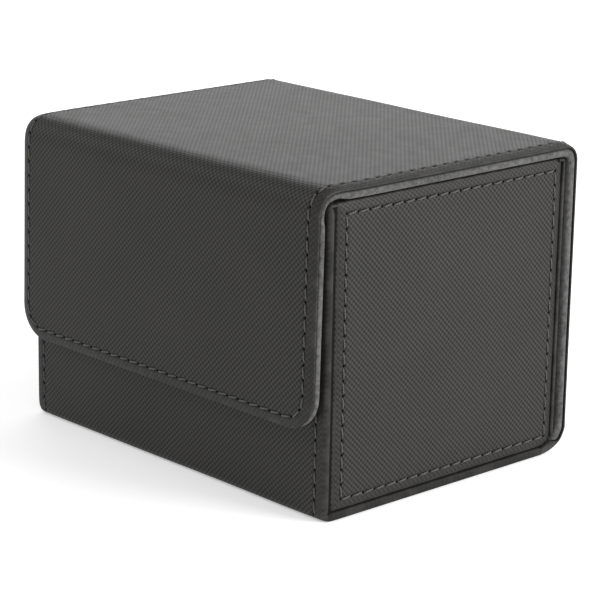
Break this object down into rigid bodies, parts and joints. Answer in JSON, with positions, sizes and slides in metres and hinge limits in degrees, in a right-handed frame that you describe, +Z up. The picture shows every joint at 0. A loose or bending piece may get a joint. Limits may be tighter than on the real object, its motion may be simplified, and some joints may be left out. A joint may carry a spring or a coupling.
{
  "type": "card deck box",
  "caption": "Side-loading trading card box: a stiff stitched leather tray in a soft cover whose lid and magnetic flap fold on unboarded bends.",
  "frame": {"origin": "on the table, under the middle of the closed box's bounding box", "axes": "+X along the width, -Y out of the front with the flap, +Z up"},
  "size_m": [0.1054, 0.0842, 0.0758],
  "materials": {
    "leather": "fine cross-hatched embossed artificial leather, satin",
    "microfibre": "short-napped microfibre suede",
    "board": "black-dyed binder's board",
    "thread": "waxed polyester sewing thread",
    "magnet": "nickel-plated neodymium",
    "adhesive": "double-sided adhesive film"
  },
  "bodies": {
    "tray": {"front_leather": "leather", "bottom_leather": "leather", "rear_leather": "leather", "left_leather": "leather", "right_leather": "leather", "cover_back_leather": "leather", "front_lining": "microfibre", "rear_lining": "microfibre", "left_lining": "microfibre", "right_lining": "microfibre", "bottom_lining": "microfibre", "cover_back_lining": "microfibre", "front_board": "board", "rear_board": "board", "left_board": "board", "right_board": "board", "bottom_board": "board", "cover_back_board": "board", "front_stitching": "thread", "left_stitching": "thread", "right_stitching": "thread", "cover_back_stitching": "thread", "front_magnets": "magnet", "cover_bond": "adhesive"},
    "lid": {"lid_board": "board", "lid_leather": "leather", "lid_lining": "microfibre", "lid_stitching": "thread", "rear_bend_leather": "leather", "rear_bend_lining": "microfibre"},
    "flap": {"flap_board": "board", "flap_leather": "leather", "flap_lining": "microfibre", "flap_stitching": "thread", "flap_magnets": "magnet", "front_bend_leather": "leather", "front_bend_lining": "microfibre"}
  },
  "joints": [
    {"name": "lid_fold", "type": "hinge", "parent": "tray", "child": "lid", "pos_m": [0, 0.04058, 0.07423], "axis": [-1, 0, 0], "range_deg": [0, 180], "deforming": ["rear_bend_leather", "rear_bend_lining"]},
    {"name": "flap_fold", "type": "hinge", "parent": "lid", "child": "flap", "pos_m": [0, -0.03895, 0.0735], "axis": [-1, 0, 0], "range_deg": [0, 180], "deforming": ["front_bend_leather", "front_bend_lining"]}
  ]
}
